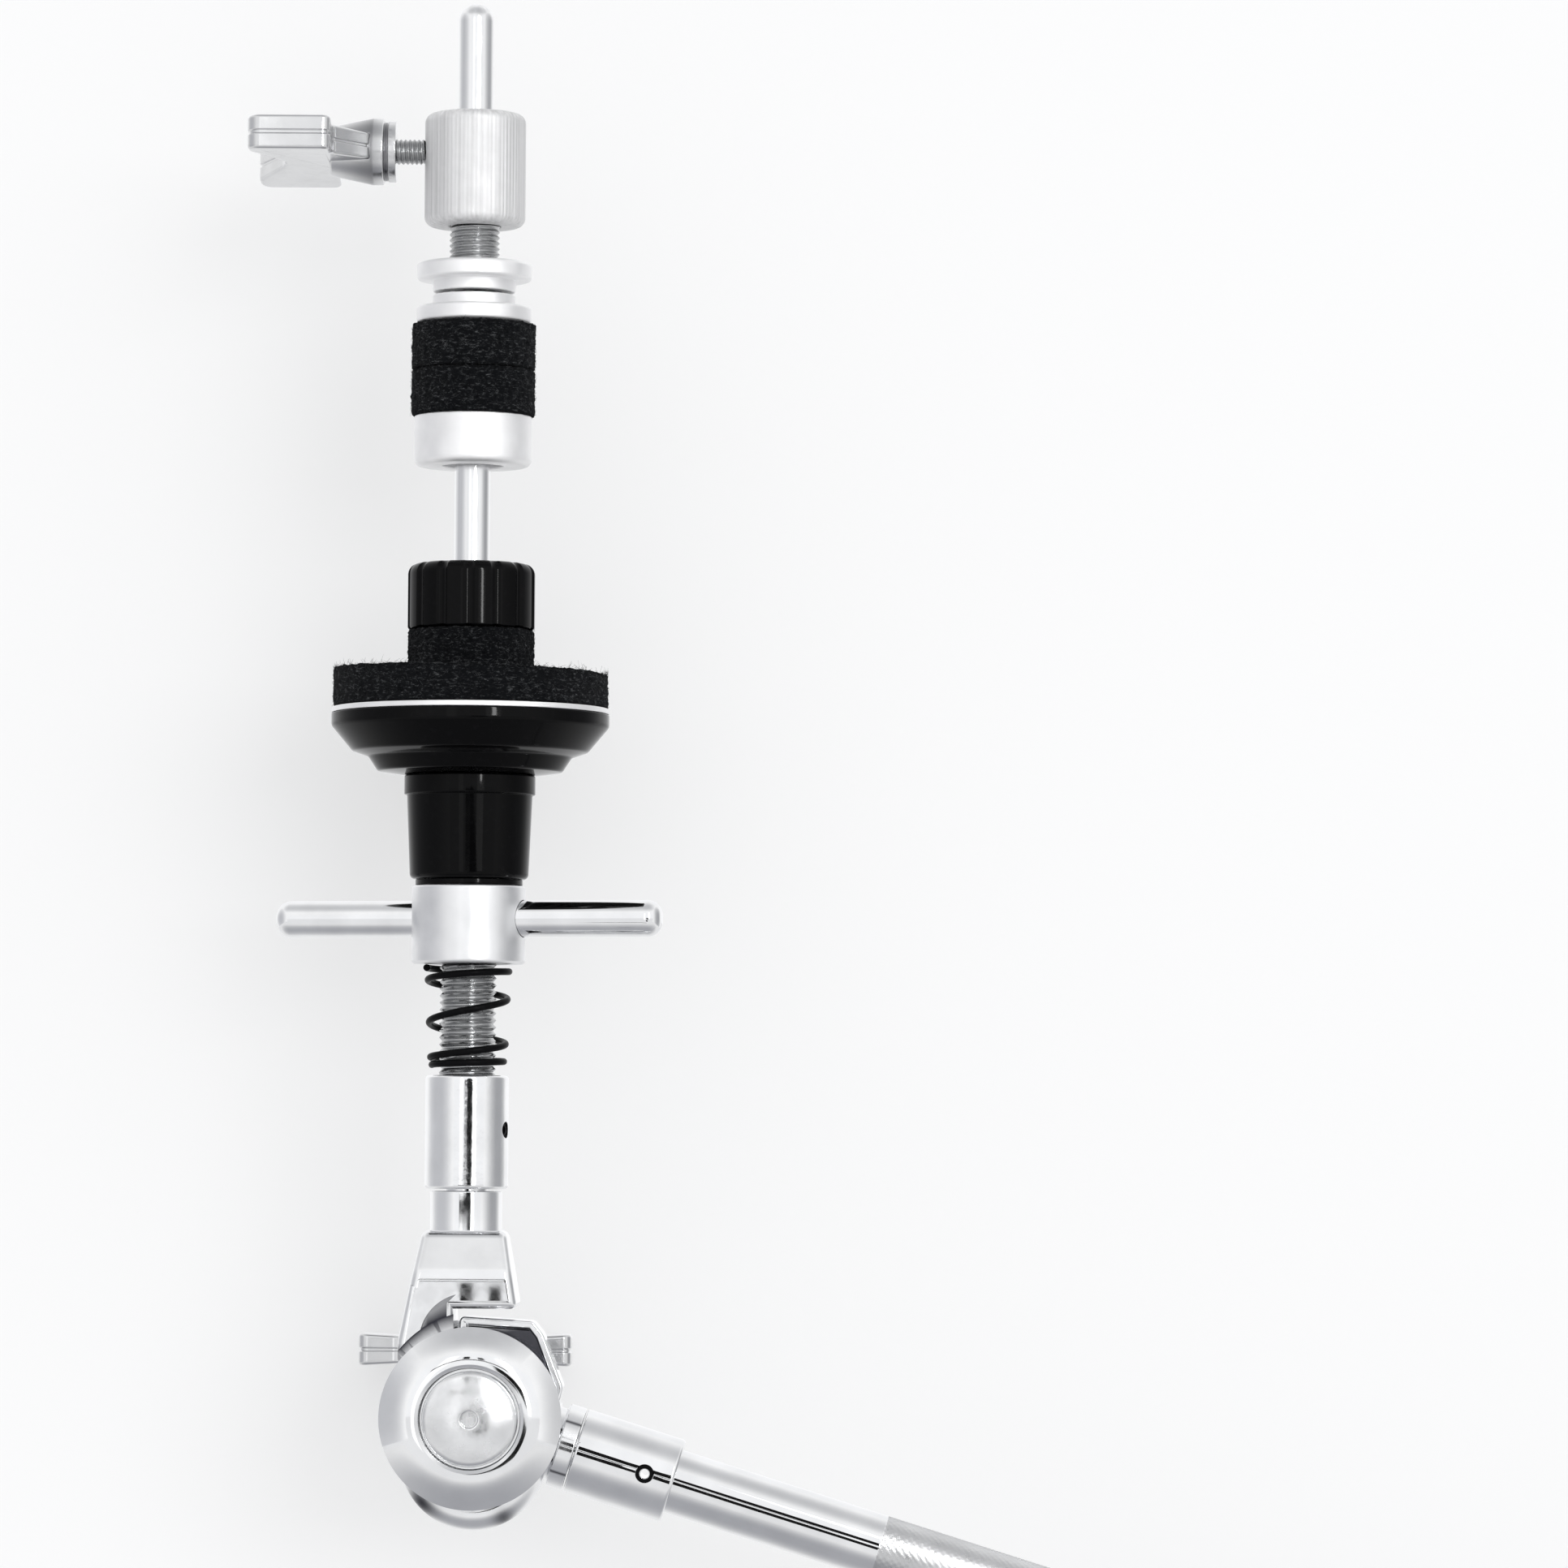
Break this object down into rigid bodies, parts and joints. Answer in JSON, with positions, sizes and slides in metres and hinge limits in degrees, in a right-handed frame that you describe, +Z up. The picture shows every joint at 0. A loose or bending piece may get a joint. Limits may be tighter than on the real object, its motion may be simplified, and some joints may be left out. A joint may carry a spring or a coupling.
{
  "type": "closed hi-hat boom arm",
  "caption": "Closed hi-hat boom arm: tilter on a knurled boom arm, sprung tension nut, felt cymbal seat with a fluted knob, fixed pull rod and clutch with a wing screw.",
  "frame": {"origin": "on the boom arm's centre line, in the middle of the knurled stretch that a clamp grips", "axes": "+Z up along the pull rod, +X along the level direction in which the boom arm leaves the tilter, +Y away from the tilter's cap disc"},
  "size_m": [0.2836, 0.0639, 0.3347],
  "materials": {
    "chrome": "polished chrome plate",
    "aluminium": "turned aluminium, satin",
    "steel": "bright zinc plate",
    "brass": "turned",
    "black_plastic": "glossy black",
    "black_wire": "black oxide",
    "felt": "pressed black wool felt",
    "nylon": "matt black"
  },
  "bodies": {
    "boom": {"boom_arm": "chrome", "arm_sleeve": "chrome", "arm_roll_pin": "black_wire", "arm_end_plug": "black_plastic", "tilter_lower_casting": "chrome", "pivot_bush": "nylon"},
    "tilter": {"tilter_upper_casting": "chrome", "pivot_cap_disc": "chrome", "pivot_bolt": "chrome", "pivot_washer": "steel", "pivot_nut": "steel", "coupler": "chrome", "coupler_set_screw": "steel", "threaded_stem": "steel", "pull_rod": "chrome", "tension_spring": "black_wire"},
    "brake_screw": {"brake_screw": "steel", "brake_pad": "nylon"},
    "brake_wing": {"brake_wing": "chrome"},
    "seat": {"thrust_ring": "black_plastic", "seat_hub": "black_plastic", "seat_cup": "black_plastic", "seat_washer": "steel", "seat_large_felt": "felt", "seat_tube": "steel"},
    "tension_nut": {"tension_collar": "aluminium", "tension_handle_near": "chrome", "tension_handle_far": "chrome"},
    "knob_insert": {"seat_knob_insert": "brass", "seat_small_felt": "felt"},
    "knob": {"seat_knob": "black_plastic"},
    "clutch": {"clutch_body": "aluminium", "clutch_tube": "aluminium", "clutch_upper_felt": "felt"},
    "clutch_screw": {"clutch_screw": "steel"},
    "clutch_wing": {"clutch_wing": "chrome"},
    "upper_lock_nut": {"clutch_upper_lock_nut": "aluminium"},
    "lower_lock_nut": {"clutch_lower_lock_nut": "aluminium"},
    "lower_felt": {"clutch_lower_felt": "felt"},
    "bottom_nut": {"clutch_bottom_nut": "aluminium"}
  },
  "joints": [
    {"name": "tilt", "type": "hinge", "parent": "boom", "child": "tilter", "pos_m": [-0.15749, 0, 0.0492], "axis": [0, 1, 0], "range_deg": [-75, 2.5]},
    {"name": "brake_screw_travel", "type": "slide", "parent": "tilter", "child": "brake_screw", "axis": [0, 1, 0], "range_m": [0, 0.001]},
    {"name": "brake_wing_turn", "type": "hinge", "parent": "brake_screw", "child": "brake_wing", "pos_m": [-0.16019, 0.0189, 0.0604], "axis": [0, 1, 0], "range_deg": [0, 360]},
    {"name": "seat_height", "type": "slide", "parent": "tilter", "child": "seat", "axis": [0, 0, 1], "range_m": [-0.005, 0.00375], "deforming": ["tension_spring"]},
    {"name": "tension_nut_turn", "type": "hinge", "parent": "seat", "child": "tension_nut", "pos_m": [-0.15899, 0, 0.13815], "axis": [0, 0, 1], "range_deg": [-1440, 1080]},
    {"name": "knob_travel", "type": "slide", "parent": "seat", "child": "knob_insert", "axis": [0, 0, 1], "range_m": [0, 0.005]},
    {"name": "knob_turn", "type": "hinge", "parent": "knob_insert", "child": "knob", "pos_m": [-0.15899, 0, 0.19605], "axis": [0, 0, 1], "range_deg": [0, 1440]},
    {"name": "clutch_height", "type": "slide", "parent": "tilter", "child": "clutch", "axis": [0, 0, 1], "range_m": [-0.003, 0.012]},
    {"name": "clutch_screw_travel", "type": "slide", "parent": "clutch", "child": "clutch_screw", "axis": [-1, 0, 0], "range_m": [0, 0.0016]},
    {"name": "clutch_wing_turn", "type": "hinge", "parent": "clutch_screw", "child": "clutch_wing", "pos_m": [-0.17319, 0, 0.2765], "axis": [-1, 0, 0], "range_deg": [0, 720]},
    {"name": "upper_lock_nut_turn", "type": "hinge", "parent": "clutch", "child": "upper_lock_nut", "pos_m": [-0.15899, 0, 0.25375], "axis": [0, 0, 1], "range_deg": [0, 180]},
    {"name": "lower_lock_nut_turn", "type": "hinge", "parent": "clutch", "child": "lower_lock_nut", "pos_m": [-0.15899, 0, 0.24795], "axis": [0, 0, 1], "range_deg": [-90, 90]},
    {"name": "bottom_nut_travel", "type": "slide", "parent": "clutch", "child": "lower_felt", "axis": [0, 0, -1], "range_m": [0, 0.004]},
    {"name": "bottom_nut_turn", "type": "hinge", "parent": "lower_felt", "child": "bottom_nut", "pos_m": [-0.15899, 0, 0.22415], "axis": [0, 0, -1], "range_deg": [0, 1440]}
  ],
  "couplings": [
    {"joint": "brake_wing_turn", "follows": "brake_screw_travel", "rad_per_m": 6283.2},
    {"joint": "tension_nut_turn", "follows": "seat_height", "rad_per_m": 5026.5},
    {"joint": "knob_turn", "follows": "knob_travel", "rad_per_m": 5026.5},
    {"joint": "clutch_wing_turn", "follows": "clutch_screw_travel", "rad_per_m": 7854},
    {"joint": "bottom_nut_turn", "follows": "bottom_nut_travel", "rad_per_m": 6283.2}
  ]
}
